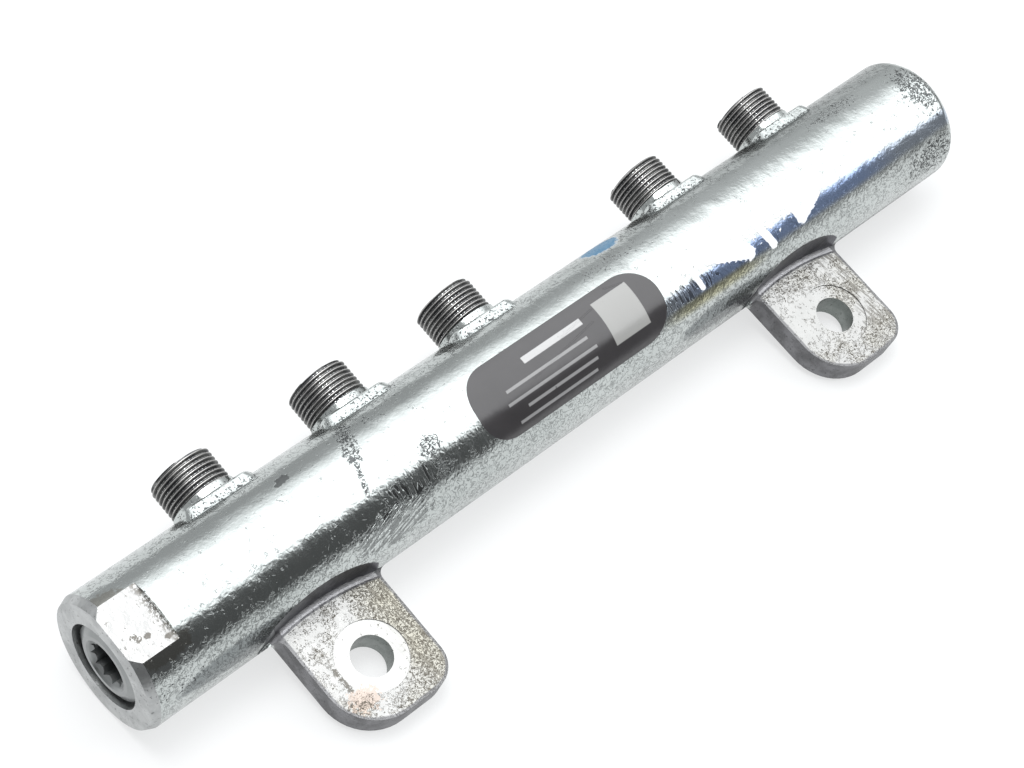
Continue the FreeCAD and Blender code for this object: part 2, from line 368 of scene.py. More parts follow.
# %% Group: stroke
# The mask of a straight stroke with round ends: all that lies near one line.
STROKE, given, result = new_group("stroke", [("Place", "Vector", None), ("From", "Vector", None),
                                             ("To", "Vector", None), ("Width", "Float", 0.001),
                                             ("Torn", "Float", 0.0), ("Ragged", "Float", 0.3)],
                                  [("Mask", "Float")])
reach = vector_calc(STROKE, "SUBTRACT", given["To"], given["From"])
off = vector_calc(STROKE, "SUBTRACT", given["Place"], given["From"])
share = calc(STROKE, "DIVIDE", vector_calc(STROKE, "DOT_PRODUCT", off, reach),
             vector_calc(STROKE, "DOT_PRODUCT", reach, reach), clamp=True)
gap = vector_calc(STROKE, "DISTANCE", off, vector_calc(STROKE, "MULTIPLY", reach, share))
torn = calc(STROKE, "MULTIPLY", given["Torn"], calc(STROKE, "MULTIPLY", given["Ragged"], 8.0))
gap = calc(STROKE, "ADD", calc(STROKE, "DIVIDE", gap, given["Width"]), torn)
feed(STROKE, result["Mask"], between(STROKE, gap, 1.0, 0.8))

# %% Group: scratches
SCRATCHES, given, result = new_group("scratches", [("Point", "Vector", None), ("Amount", "Float", 0.3)],
                                     [("Mask", "Float")])
lines = [noise(SCRATCHES, stretched(SCRATCHES, given["Point"], 0.0038, 0.0003, turn), 1.0, detail=1)
         for turn in (0.5, -0.9, 1.7)]
deepest = calc(SCRATCHES, "MAXIMUM", calc(SCRATCHES, "MAXIMUM", lines[0], lines[1]), lines[2])
level = calc(SCRATCHES, "SUBTRACT", 0.82, calc(SCRATCHES, "MULTIPLY", given["Amount"], 0.2))
feed(SCRATCHES, result["Mask"], between(SCRATCHES, deepest, level, calc(SCRATCHES, "ADD", level, 0.04)))
print("node groups:", [group.name for group in bpy.data.node_groups])

# %% [markdown]
# ## The zinc skin of the forging
#
# Zinc plating on a forging is satin rather than shiny, with a green-grey cast.
# Its shine is broken by the grain of the forging, by pits that hold dirt, and
# by scratches. On the far half the thin plating shows a blue and straw tint.

# %% Material: zinc
def start_material(name):
    """A material with its Principled shader and the object's own coordinates."""
    material = bpy.data.materials.new(name)
    material.use_nodes = True
    tree = material.node_tree
    point = tree.nodes.new("ShaderNodeTexCoord").outputs["Object"]
    return material, tree, tree.nodes["Principled BSDF"], point


def raise_surface(tree, skin, height, depth, strength=1.0):
    """Bump the surface by a height pattern, in metres."""
    node = tree.nodes.new("ShaderNodeBump")
    node.inputs["Distance"].default_value = depth
    node.inputs["Strength"].default_value = strength
    feed(tree, node.inputs["Height"], height)
    feed(tree, skin.inputs["Normal"], node.outputs[0])
    return node


zinc, tree, skin, point = start_material("zinc_skin")
on_bar = use(tree, PLACE, Point=point)
along, angle, out, unrolled = on_bar["Along"], on_bar["Angle"], on_bar["Out"], on_bar["Unrolled"]
torn = calc(tree, "SUBTRACT", noise(tree, unrolled, 900, detail=2, rough=0.6), 0.5)


def add(*masks):
    """The sum of masks."""
    total = masks[0]
    for mask in masks[1:]:
        total = calc(tree, "ADD", total, mask)
    return total


def scaled(mask, amount):
    """A mask, weakened by a number or by another mask."""
    return calc(tree, "MULTIPLY", mask, amount)


def either(*masks):
    """Where any of the masks is."""
    total = masks[0]
    for mask in masks[1:]:
        total = calc(tree, "MAXIMUM", total, mask)
    return total


def on_skin(along_mm, degrees):
    """A place on the unrolled skin, in metres."""
    return (along_mm / 1000, math.radians(degrees) * BAR_RADIUS, 0)


def spot(centre, length_mm, degrees, ragged=0.5):
    """An oval on the skin, by its half length and half angle."""
    reach = (length_mm / 1000, math.radians(degrees) * BAR_RADIUS, 1)
    return use(tree, PATCH, Place=unrolled, Centre=on_skin(*centre), Reach=reach,
               Torn=torn, Ragged=ragged)["Mask"]


def stroke(start, end, width_mm, ragged=0.3):
    """A straight stroke on the skin, by its half width."""
    return use(tree, STROKE, Place=unrolled, From=on_skin(*start), To=on_skin(*end),
               Width=width_mm / 1000, Torn=torn, Ragged=ragged)["Mask"]


round_skin = between(tree, out, 0.0150, 0.0148)
belly = between(tree, angle, 124, 138)
far_side = scaled(between(tree, angle, 60, 40), round_skin)
cloud = noise(tree, point, 60, detail=3, rough=0.6)
nearest_port = None
for place in PORT_PLACES:
    gap = calc(tree, "ABSOLUTE", calc(tree, "SUBTRACT", along, place))
    nearest_port = gap if nearest_port is None else calc(tree, "MINIMUM", nearest_port, gap)
pad_foot = scaled(between(tree, out, 0.01466, 0.0148), between(tree, out, 0.0157, 0.0150))
below_pad = scaled(between(tree, nearest_port, 0.012, 0.009), between(tree, angle, 47, 41))

# Dirt that sits in small pits: where the rail was knocked, and round the pads.
trail = either(stroke((63.5, 50), (59.6, 80), 1.7), stroke((59.6, 80), (57.1, 108), 0.7, 0.2))
blotch = either(spot((74.2, 106), 2.4, 10), spot((75, 126), 2.2, 7))
upper_specks = either(spot((71, 55), 6, 9, 0.8), spot((136, 60), 9, 6, 0.8))
end_rim = either(spot((229.8, 86), 4.2, 25, 0.7), spot((226, 152), 8, 16, 0.8),
                 scaled(spot((209, 58), 7, 7, 0.8), 0.8))
worst = either(trail, blotch, end_rim)
low_end = scaled(between(tree, angle, 140, 147), between(tree, angle, 162, 156))
low_end = scaled(between(tree, along, 0.024, 0.008), low_end)
# Painted shade: the belly is painted darker beside each lug, for the lug's shadow and the dark lug side in the
# belly's reflection.
shade = either(spot((22, 159), 16, 12, 0.1), spot((157, 158), 16, 13, 0.1))
heavy = either(scaled(worst, 0.85), scaled(upper_specks, 0.6),
               scaled(low_end, 0.6), scaled(pad_foot, 0.85), scaled(below_pad, 0.6),
               scaled(calc(tree, "SUBTRACT", 1.0, round_skin), 0.25))
pits = use(tree, PITS, Point=point, Size=0.00055, Amount=heavy)["Mask"]
dark_spots = either(spot((46.0, 59), 1.6, 4, 0.4), spot((44.6, 62), 0.9, 2.5, 0.3))
crooked = add(scaled(belly, 0.7), scaled(far_side, 0.55), scaled(cloud, 0.35), scaled(worst, 1.2))
worms = use(tree, WORMS, Point=point, Size=0.0010, Amount=crooked)["Mask"]
worms = scaled(worms, add(0.45, scaled(worst, 0.4)))
marks = either(scaled(pits, 0.9), worms, scaled(dark_spots, 0.75))

# Two sets of combed scratches, where a tool slipped on the belly.
combed = scaled(noise(tree, stretched(tree, unrolled, 0.005, 0.00055, -0.36), 1.0, detail=1),
                spot((60, 143), 11, 17, 0.3))
ribbed = scaled(noise(tree, stretched(tree, unrolled, 0.004, 0.0007, 1.45), 1.0, detail=1),
                either(spot((67, 122), 8, 11, 0.3), spot((146, 122), 9, 9, 0.3)))
slips = either(between(tree, combed, 0.47, 0.55), between(tree, ribbed, 0.5, 0.58))
often = add(scaled(belly, 0.3), scaled(cloud, 0.3))
scratched = use(tree, SCRATCHES, Point=unrolled, Amount=often)["Mask"]
scratched = either(scaled(scratched, 0.6), scaled(slips, 1.3))
# A low ridge runs along the belly from the plug end.
ridge = either(stroke((3.3, 135.2), (9.8, 138.7), 0.16, 0.1), stroke((9.8, 138.7), (24, 141.0), 0.16, 0.1))

LIGHT_ZINC, DULL_ZINC = (0.55, 0.58, 0.57, 1), (0.50, 0.53, 0.52, 1)
zinc_colour = blend_colour(tree, between(tree, cloud, 0.35, 0.7), LIGHT_ZINC, DULL_ZINC)
# Painted shade: the far side of the bar is painted darker, most towards the far end.
far_shade = add(scaled(between(tree, along, 0.10, 0.21), 0.95), scaled(cloud, 0.25))
far_shade = scaled(far_side, far_shade)
zinc_colour = blend_colour(tree, far_shade, zinc_colour, (0.25, 0.27, 0.265, 1))
brown = either(spot((6.5, 119), 6, 9, 0.3), spot((1.5, 62), 6, 10, 0.3))
zinc_colour = blend_colour(tree, scaled(brown, 0.5), zinc_colour, (0.30, 0.27, 0.22, 1))
# Painted shade on the belly beside each lug.
zinc_colour = blend_colour(tree, scaled(shade, 0.75), zinc_colour, (0.15, 0.165, 0.17, 1))
blue = scaled(between(tree, angle, 113, 120), between(tree, angle, 134, 127))
blue = scaled(blue, between(tree, along, 0.13, 0.16))
blue = scaled(blue, between(tree, along, 0.218, 0.200, 0.3, 1.0))
straw = scaled(between(tree, along, 0.135, 0.145), between(tree, along, 0.172, 0.160))
straw = scaled(straw, scaled(between(tree, angle, 127, 132), between(tree, angle, 143, 135)))
zinc_colour = blend_colour(tree, scaled(blue, 0.8), zinc_colour, (0.36, 0.50, 0.84, 1))
zinc_colour = blend_colour(tree, scaled(straw, 0.6), zinc_colour, (0.46, 0.43, 0.20, 1))
dirty = either(marks, scaled(scratched, 0.45))
zinc_colour = blend_colour(tree, dirty, zinc_colour, (0.05, 0.052, 0.055, 1))

# One plain smear of white paint, wiped along the bar, with runs below it, and
# one blue dab behind the label.
wiped = either(stroke((148.5, 101), (160, 98), 2.6, 0.5), stroke((160, 98), (174, 103), 3.4, 0.5),
               stroke((174, 103), (186.5, 104), 2.8, 0.5), stroke((182.5, 106), (185.5, 108), 2.6, 0.3))
white_paint = either(wiped, stroke((148.2, 103), (149.6, 125.5), 0.8, 0.08),
                     stroke((154.0, 106), (161.0, 116.5), 2.1, 0.12),
                     stroke((158, 106), (164.6, 123.5), 2.1, 0.12),
                     stroke((169.0, 103), (171.9, 130.5), 1.15, 0.08),
                     stroke((180.0, 103), (181.9, 125.0), 1.6, 0.1), stroke((181.9, 125), (188.4, 112), 1.5, 0.1))
blue_paint = spot((139.4, 32), 5.0, 14, 0.15)
paint = either(white_paint, scaled(blue_paint, 0.85))
paint_colour = blend_colour(tree, blue_paint, (0.95, 0.96, 0.96, 1), (0.03, 0.15, 0.28, 1))
feed(tree, skin.inputs["Base Color"], blend_colour(tree, paint, zinc_colour, paint_colour))
feed(tree, skin.inputs["Metallic"], calc(tree, "SUBTRACT", 1.0, paint))
rough = add(0.12, scaled(cloud, 0.1), scaled(marks, 0.3), scaled(paint, 0.35))
feed(tree, skin.inputs["Roughness"], rough)
ripple = add(0.025, scaled(belly, 0.05), scaled(cloud, 0.04))
height = calc(tree, "SUBTRACT", use(tree, GRAIN, Point=point, Size=0.0009, Ripple=ripple)["Height"],
              add(scaled(marks, 0.04), scaled(scratched, 0.05)))
height = add(height, scaled(ridge, 0.12), scaled(white_paint, 0.03))
raise_surface(tree, skin, height, 0.001)

# %% [markdown]
# The milled lug tops and the flat at the plug end are bare steel. They are
# bright where nothing touched them, and peppered with dark spots and brown
# stains elsewhere. The ring that the bolt head covered stayed clean.

# %% Where the milled faces lie, in the drawing
LUG_TOP, LUG_PLACES = -0.0022, (0.0436, 0.1815)
LUG_WIDTH, LUG_REACH, LUG_NEAR_CORNER, LUG_FAR_CORNER = 0.0246, 0.0402, 0.011, 0.006
CUTTER_RADIUS, CUTTER_BITE, CUTTER_SHIFT = 0.060, 0.0126, 0.0035
BOLT_OFFSET = 0.0276
FLAT_HEIGHT, FLAT_END = 0.0131, 0.0101
BETWEEN_LUGS = 0.11         # a place along the bar with one lug on each side


def cutter_light_and_shade(tree, from_lug, across):
    """The masks of the hollow that the face cutter's round tip left, painted pale as a painted highlight, and of
    its foot, painted dark as painted shade.
    """
    aside = calc(tree, "ADD", from_lug, CUTTER_SHIFT)
    back = calc(tree, "ADD", across, CUTTER_BITE + CUTTER_RADIUS)
    squares = calc(tree, "ADD", calc(tree, "POWER", aside, 2.0), calc(tree, "POWER", back, 2.0))
    inside = calc(tree, "SUBTRACT", CUTTER_RADIUS, calc(tree, "SQRT", squares))
    on_lug = between(tree, across, -0.009, -0.010)
    hollow = between(tree, inside, 0.00105, 0.00095)
    foot = calc(tree, "MULTIPLY", between(tree, inside, 0.00095, 0.00105), between(tree, inside, 0.00155, 0.00135))
    return calc(tree, "MULTIPLY", hollow, on_lug), calc(tree, "MULTIPLY", foot, on_lug)


def lug_rim(tree, from_lug, across, uneven):
    """The mask of a lug's outer edge, from how far a point is inside the rounded outline."""
    left = calc(tree, "ADD", from_lug, LUG_WIDTH / 2)
    right = calc(tree, "SUBTRACT", LUG_WIDTH / 2, from_lug)
    low = calc(tree, "ADD", across, LUG_REACH)
    from_rim = None
    for edge, corner in ((left, LUG_NEAR_CORNER), (right, LUG_FAR_CORNER)):
        one, two = calc(tree, "SUBTRACT", corner, edge), calc(tree, "SUBTRACT", corner, low)
        squares = [calc(tree, "POWER", calc(tree, "MAXIMUM", way, 0.0), 2.0) for way in (one, two)]
        round_off = calc(tree, "SQRT", calc(tree, "ADD", squares[0], squares[1]))
        flat_off = calc(tree, "MINIMUM", calc(tree, "MAXIMUM", one, two), 0.0)
        gap = calc(tree, "SUBTRACT", calc(tree, "SUBTRACT", corner, round_off), flat_off)
        from_rim = gap if from_rim is None else calc(tree, "MINIMUM", from_rim, gap)
    from_rim = calc(tree, "ADD", from_rim, calc(tree, "MULTIPLY", uneven, 0.0003))
    on_lug = between(tree, across, -0.009, -0.010)
    return calc(tree, "MULTIPLY", between(tree, from_rim, 0.00075, 0.00045), on_lug)


# %% Dirt on the milled faces
def flat_dirt(tree, along, drawn, torn, frayed):
    """Dirt on the flat at the plug end: at its shoulder and in four hollows."""
    at_shoulder = between(tree, along, 0.0075, FLAT_END)
    dirt = calc(tree, "MULTIPLY", at_shoulder, between(tree, frayed, 0.42, 0.6))
    for place in ((0.0034, -0.0018), (0.0040, -0.0027), (0.0057, -0.0030), (0.0088, -0.0052)):
        hollow = use(tree, PATCH, Place=drawn, Centre=(place[0], place[1], FLAT_HEIGHT),
                     Reach=(0.0008, 0.0006, 1), Torn=torn, Ragged=0.4)["Mask"]
        hollow = calc(tree, "MULTIPLY", hollow, between(tree, frayed, 0.36, 0.46))
        dirt = calc(tree, "MAXIMUM", dirt, hollow)
    return calc(tree, "MULTIPLY", dirt, between(tree, along, FLAT_END + 0.0001, FLAT_END + 0.00005))


def caked_dirt(tree, drawn, torn, frayed):
    """Dirt at the edge of the place that the first lug's bolt head covered."""
    caked = use(tree, STROKE, Place=drawn, From=(LUG_PLACES[0] - 0.0081, -0.0258, LUG_TOP),
                To=(LUG_PLACES[0] - 0.0079, -0.0305, LUG_TOP), Width=0.0007, Torn=torn, Ragged=0.5)["Mask"]
    return calc(tree, "MULTIPLY", caked, between(tree, frayed, 0.38, 0.5))


# %% Material: milled faces
def milled_steel(name, specks, size, stains, light=(0.44, 0.44, 0.43, 1)):
    """Bare milled steel with dark crooked specks and brown stains, worst on the far side of a lug."""
    material, tree, skin, point = start_material(name)
    on_bar = use(tree, PLACE, Point=point)
    along, drawn = on_bar["Along"], on_bar["Drawn"]
    split = tree.nodes.new("ShaderNodeSeparateXYZ")
    feed(tree, split.inputs[0], drawn)
    across = split.outputs[1]
    far_lug = calc(tree, "GREATER_THAN", along, BETWEEN_LUGS)
    lug_pitch = calc(tree, "MULTIPLY", far_lug, LUG_PLACES[1] - LUG_PLACES[0])
    from_lug = calc(tree, "SUBTRACT", calc(tree, "SUBTRACT", along, LUG_PLACES[0]), lug_pitch)
    side = calc(tree, "MULTIPLY", between(tree, from_lug, -0.004, 0.012), between(tree, far_lug, 0, 1, 1.0, 0.35))
    cloud = noise(tree, point, 170, detail=3)
    uneven = calc(tree, "MULTIPLY", calc(tree, "SUBTRACT", cloud, 0.5), 2.0)
    frayed = noise(tree, point, 1400, detail=2)
    torn = calc(tree, "SUBTRACT", frayed, 0.5)

    # Specks: crooked lines, dots, and streaks near the far edge.
    near_bar = between(tree, across, -0.026, -0.016, 0.45, 0.6)
    tip = between(tree, across, -0.032, -0.036, 0, 0.2)
    amount = calc(tree, "ADD", calc(tree, "MULTIPLY", side, 0.45), uneven)
    amount = calc(tree, "ADD", amount, calc(tree, "ADD", near_bar, tip))
    worms = use(tree, WORMS, Point=point, Size=size, Amount=calc(tree, "MULTIPLY", amount, specks * 1.3))["Mask"]
    worms = calc(tree, "MULTIPLY", worms, calc(tree, "ADD", 0.52, calc(tree, "MULTIPLY", side, 0.28)))
    dots_amount = calc(tree, "MINIMUM", calc(tree, "MULTIPLY", amount, specks), 0.72)
    dots = use(tree, PITS, Point=point, Size=size * 0.7, Amount=dots_amount)["Mask"]
    streaks = noise(tree, stretched(tree, drawn, 0.0045, 0.0005, math.radians(97)), 1.0, detail=1)
    streaks = calc(tree, "MULTIPLY", between(tree, streaks, 0.5, 0.6), specks)
    streaks = calc(tree, "MULTIPLY", streaks, between(tree, from_lug, 0.003, 0.009))
    speck = calc(tree, "MAXIMUM", worms, calc(tree, "MULTIPLY", dots, 0.85))
    speck = calc(tree, "MAXIMUM", speck, calc(tree, "MULTIPLY", streaks, 0.6))
    for dirt in (flat_dirt(tree, along, drawn, torn, frayed), caked_dirt(tree, drawn, torn, frayed)):
        speck = calc(tree, "MAXIMUM", speck, calc(tree, "MULTIPLY", dirt, 0.75))

    # Colour: steel, brown stains, a rust patch on the first lug, specks, the painted highlight and painted shade
    # of the cutter's hollow, the rim.
    darker = [0.85 * value for value in light[:3]] + [1]
    colour = blend_colour(tree, noise(tree, point, 300, detail=3), light, darker)
    stain = calc(tree, "MULTIPLY", calc(tree, "ADD", side, uneven), stains, clamp=True)
    colour = blend_colour(tree, stain, colour, (0.37, 0.355, 0.295, 1))
    rust = use(tree, PATCH, Place=drawn, Centre=(LUG_PLACES[0] - 0.0070, -0.0335, LUG_TOP),
               Reach=(0.0033, 0.0026, 1), Torn=torn, Ragged=0.6)["Mask"]
    colour = blend_colour(tree, calc(tree, "MULTIPLY", rust, 0.45), colour, (0.42, 0.29, 0.21, 1))
    colour = blend_colour(tree, speck, colour, (0.085, 0.075, 0.06, 1))
    hollow, foot = cutter_light_and_shade(tree, from_lug, across)
    # Painted highlight on the cutter's hollow, and painted shade at its foot.
    colour = blend_colour(tree, calc(tree, "MULTIPLY", hollow, 0.85), colour, (0.62, 0.62, 0.64, 1))
    colour = blend_colour(tree, calc(tree, "MULTIPLY", foot, 0.8), colour, (0.10, 0.10, 0.11, 1))
    rim = lug_rim(tree, from_lug, across, uneven)
    colour = blend_colour(tree, calc(tree, "MULTIPLY", rim, 0.85), colour, (0.16, 0.16, 0.165, 1))
    feed(tree, skin.inputs["Base Color"], colour)
    skin.inputs["Metallic"].default_value = 1.0
    soft = calc(tree, "MAXIMUM", speck, calc(tree, "MULTIPLY", hollow, 0.8))
    feed(tree, skin.inputs["Roughness"], calc(tree, "ADD", 0.3, calc(tree, "MULTIPLY", soft, 0.3)))
    height = calc(tree, "SUBTRACT", use(tree, GRAIN, Point=point, Size=0.0006, Ripple=0.03)["Height"],
                  calc(tree, "MULTIPLY", speck, 0.03))
    raise_surface(tree, skin, height, 0.001)
    return material


milled_top = milled_steel("milled_top", 0.95, 0.0007, 0.65)
milled_flat = milled_steel("milled_flat", 0.3, 0.0007, 0.1, (0.40, 0.40, 0.395, 1))
clean_ring = milled_steel("clean_ring", 0.22, 0.0007, 0.15, (0.50, 0.50, 0.49, 1))
print("milled faces:", milled_top.name, milled_flat.name, clean_ring.name)

# %% [markdown]
# Surfaces that nobody polished are dull and dark: the sides of the lugs, which
# kept their forging scale. The wall that the face cutter left in the bar and the
# walls of the bolt holes are painted dark too, as painted shade.
# The turned face at the plug end is in between.

# %% Material: dull steel
def dull_steel(name, light, dark, roughness):
    """Scaled or turned steel, from its lighter and darker colour."""
    material, tree, skin, point = start_material(name)
    cloud = noise(tree, point, 220, detail=4, rough=0.6)
    speck = use(tree, PITS, Point=point, Size=0.0006, Amount=0.5)["Mask"]
    colour = blend_colour(tree, between(tree, cloud, 0.35, 0.65), light, dark)
    colour = blend_colour(tree, calc(tree, "MULTIPLY", speck, 0.5), colour, (0.05, 0.05, 0.05, 1))
    feed(tree, skin.inputs["Base Color"], colour)
    skin.inputs["Metallic"].default_value = 1.0
    feed(tree, skin.inputs["Roughness"], calc(tree, "ADD", roughness, calc(tree, "MULTIPLY", cloud, 0.1)))
    raise_surface(tree, skin, use(tree, GRAIN, Point=point, Size=0.0009, Ripple=0.06)["Height"], 0.001)
    return material


forged_side = dull_steel("forged_side", (0.22, 0.22, 0.23, 1), (0.14, 0.14, 0.145, 1), 0.4)
# Painted shade: the wall that the face cutter left is painted very dark.
cutter_wall = dull_steel("cutter_wall", (0.12, 0.12, 0.135, 1), (0.08, 0.08, 0.095, 1), 0.35)
turned_face = dull_steel("turned_face", (0.52, 0.53, 0.53, 1), (0.40, 0.41, 0.41, 1), 0.33)
# Painted shade: the walls of the bolt holes are painted dark, for the shade inside the holes.
hole_wall = dull_steel("hole_wall", (0.27, 0.29, 0.28, 1), (0.19, 0.21, 0.20, 1), 0.35)

# %% [markdown]
# ## The forging
#
# The CAD bar has plain cylinders where the port threads are, and it can't be
# changed here. So a copy of it stands in for it. Its loose triangles are merged,
# the thread cylinders are drawn in to the bottom of the thread, and each face
# gets its own finish by where it lies and which way it looks.

# %% Copy the bar and narrow its thread cylinders
THREAD_START, THREAD_END = 0.0160, 0.0238
THREAD_RADIUS, CORE_RADIUS = 0.0070, 0.00638

forging = frame["nodes"]["rail_body"].copy()
forging.data = forging.data.copy()
bpy.context.scene.collection.objects.link(forging)
forging.parent = None
pick(forging)
forging.name = forging.data.name = "forging"
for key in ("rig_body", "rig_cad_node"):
    if key in forging:
        del forging[key]
move_by(forging, LIE_DOWN.inverted())
bpy.ops.object.mode_set(mode="EDIT")
bpy.ops.mesh.select_all(action="SELECT")
bpy.ops.mesh.customdata_custom_splitnormals_clear()
bpy.ops.mesh.remove_doubles(threshold=0.000002)
for place in PORT_PLACES:
    bpy.ops.mesh.select_mode(type="VERT")
    bpy.ops.mesh.select_all(action="DESELECT")
    bpy.ops.object.mode_set(mode="OBJECT")
    for corner in forging.data.vertices:
        out = math.hypot(corner.co.x - place, corner.co.z)
        corner.select = (THREAD_START - 1e-5 < corner.co.y < THREAD_END + 1e-5
                         and THREAD_RADIUS - 0.0006 < out < THREAD_RADIUS + 1e-5)
    bpy.ops.object.mode_set(mode="EDIT")
    shrink = CORE_RADIUS / THREAD_RADIUS
    bpy.ops.transform.resize(value=(shrink, 1, shrink), center_override=(place, 0.02, 0))
bpy.ops.object.mode_set(mode="OBJECT")
print("forging:", len(forging.data.polygons), "faces")

# %% Give each face of the forging its finish
finishes = [zinc, milled_top, milled_flat, clean_ring, forged_side, cutter_wall, turned_face, hole_wall]
forging.data.materials.clear()
for finish in finishes:
    forging.data.materials.append(finish)


def finish_of(face):
    """The finish of one face, from its middle and its normal in the drawing."""
    middle, normal = face.center, face.normal
    lug = min(LUG_PLACES, key=lambda place: abs(place - middle.x))
    from_bolt = math.hypot(middle.x - lug, middle.y + BOLT_OFFSET)
    axis_out = math.hypot(middle.y, middle.z)
    if normal.z > 0.99 and abs(middle.z - FLAT_HEIGHT) < 1e-4 and middle.x < FLAT_END:
        return milled_flat
    if middle.y < -0.012 and abs(middle.x - lug) < 0.0145:
        if from_bolt < 0.0046 and abs(normal.z) < 0.2:
            return hole_wall
        if normal.z > 0.99 and middle.z < LUG_TOP - 1e-4:
            return clean_ring if lug == LUG_PLACES[0] else milled_top
        if normal.z > 0.3 and middle.z < LUG_TOP + 0.0009:
            return milled_top
        if middle.z > LUG_TOP and normal.y < -0.8 and axis_out < BAR_RADIUS - 2e-4:
            return cutter_wall
        if middle.y < -0.0142 and middle.z < LUG_TOP + 1e-4:
            return forged_side
    if middle.x < 0.0019 and axis_out < BAR_RADIUS + 1e-4 and (normal.x < -0.3 or axis_out < 0.0096):
        return turned_face
    if axis_out < BAR_RADIUS - 0.001:
        return turned_face
    return zinc


for face in forging.data.polygons:
    face.material_index = finishes.index(finish_of(face))
pick(forging)
bpy.ops.object.shade_smooth_by_angle(angle=math.radians(22))
move_by(forging, LIE_DOWN)
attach(forging, "root")
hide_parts("rail_body")
print("faces per finish:", {finish.name: sum(face.material_index == i for face in forging.data.polygons)
                            for i, finish in enumerate(finishes)})

# %% [markdown]
# ## The port threads
#
# A thread is a small tooth swept up a helix. One pitch of the tooth's outline
# is drawn, and the Screw modifier turns it round the port. The helix is cut
# square at the rim and its rim is chamfered. A colour attribute holds each
# point's height on the tooth: the crests are painted light as a painted highlight,
# and the rest of the thread is painted dark as painted shade, mottled by dirt.

# %% Model one thread
PITCH = 0.001
CREST, ROOT = 0.00014, 0.00018     # widths of the flat crest and groove bottom
THREAD_CHAMFER = 0.00035

flank = (PITCH - CREST - ROOT) / 2
outline = [(CORE_RADIUS, 0), (CORE_RADIUS, ROOT), (THREAD_RADIUS, ROOT + flank),
           (THREAD_RADIUS, ROOT + flank + CREST), (CORE_RADIUS, PITCH)]
deselect()
bpy.ops.mesh.primitive_plane_add(size=0.001)
thread = name_it("port_thread")
bpy.ops.object.mode_set(mode="EDIT")
bpy.ops.mesh.delete(type="VERT")
bpy.ops.object.mode_set(mode="OBJECT")
thread.data.from_pydata([(radius, 0, height) for radius, height in outline],
                        [(i, i + 1) for i in range(len(outline) - 1)], [])
turns = math.ceil((THREAD_END - THREAD_START) / PITCH) + 2
screw = thread.modifiers.new("helix", "SCREW")
screw.screw_offset = PITCH
screw.iterations = turns
screw.steps = screw.render_steps = 80
screw.use_merge_vertices = True
screw.merge_threshold = 0.000002
bpy.ops.object.modifier_apply(modifier="helix")
bpy.ops.transform.translate(value=(0, 0, THREAD_START - 2 * PITCH))
bpy.ops.object.transform_apply(location=True)
bpy.ops.object.mode_set(mode="EDIT")
bpy.ops.mesh.select_all(action="SELECT")
bpy.ops.mesh.remove_doubles(threshold=0.000002)
for height, outer in ((THREAD_END - 0.00002, True), (THREAD_START - 0.0005, False)):
    bpy.ops.mesh.select_all(action="SELECT")
    bpy.ops.mesh.bisect(plane_co=(0, 0, height), plane_no=(0, 0, 1), clear_outer=outer, clear_inner=not outer)
    bpy.ops.mesh.extrude_region_move()
    bpy.ops.transform.resize(value=(0.9, 0.9, 1), center_override=(0, 0, height))
bpy.ops.mesh.select_all(action="SELECT")
bpy.ops.mesh.normals_make_consistent(inside=False)
bpy.ops.object.mode_set(mode="OBJECT")
crest = thread.data.color_attributes.new("crest", "FLOAT_COLOR", "POINT")
for corner, tint in zip(thread.data.vertices, crest.data):
    out = math.hypot(corner.co.x, corner.co.y)
    share = max(0.0, min(1.0, (out - CORE_RADIUS) / (THREAD_RADIUS - CORE_RADIUS)))
    tint.color = (share, share, share, 1)
    limit = THREAD_RADIUS - max(0.0, corner.co.z - THREAD_END + THREAD_CHAMFER)
    if out > limit:
        corner.co.x *= limit / out
        corner.co.y *= limit / out
print("thread:", len(thread.data.polygons), "faces")

# %% Material: thread
thread_steel, tree, skin, point = start_material("thread_steel")
crest_height = tree.nodes.new("ShaderNodeAttribute")
crest_height.attribute_name = "crest"
dirt = noise(tree, point, 260, detail=3, rough=0.6)
# Painted highlight on the crests, over dark steel painted as shade in the grooves.
bright = between(tree, calc(tree, "ADD", crest_height.outputs["Fac"], calc(tree, "MULTIPLY", dirt, 0.4)), 0.85, 1.2)
colour = blend_colour(tree, between(tree, dirt, 0.35, 0.65), (0.24, 0.24, 0.235, 1), (0.10, 0.10, 0.105, 1))
colour = blend_colour(tree, bright, colour, (0.50, 0.49, 0.48, 1))
feed(tree, skin.inputs["Base Color"], colour)
skin.inputs["Metallic"].default_value = 1.0
feed(tree, skin.inputs["Roughness"], calc(tree, "ADD", 0.4, calc(tree, "MULTIPLY", dirt, 0.2)))
raise_surface(tree, skin, use(tree, GRAIN, Point=point, Size=0.0005, Ripple=0.03)["Height"], 0.001)
thread.data.materials.append(thread_steel)

# %% Copy the thread to each port
STAND_OUT = Matrix.Rotation(math.radians(-90), 4, "X")     # the port's axis goes from Z to Y
for number, place in enumerate(PORT_PLACES, 1):
    pick(thread)
    bpy.ops.object.duplicate()
    copy = name_it("port_thread_" + str(number))
    turn = Matrix.Rotation(math.radians(73 * number), 4, "Z")
    move_by(copy, LIE_DOWN @ Matrix.Translation((place, 0, 0)) @ STAND_OUT @ turn)
    bpy.ops.object.shade_smooth_by_angle(angle=math.radians(35))
    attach(copy, "root")
bpy.data.objects.remove(thread)
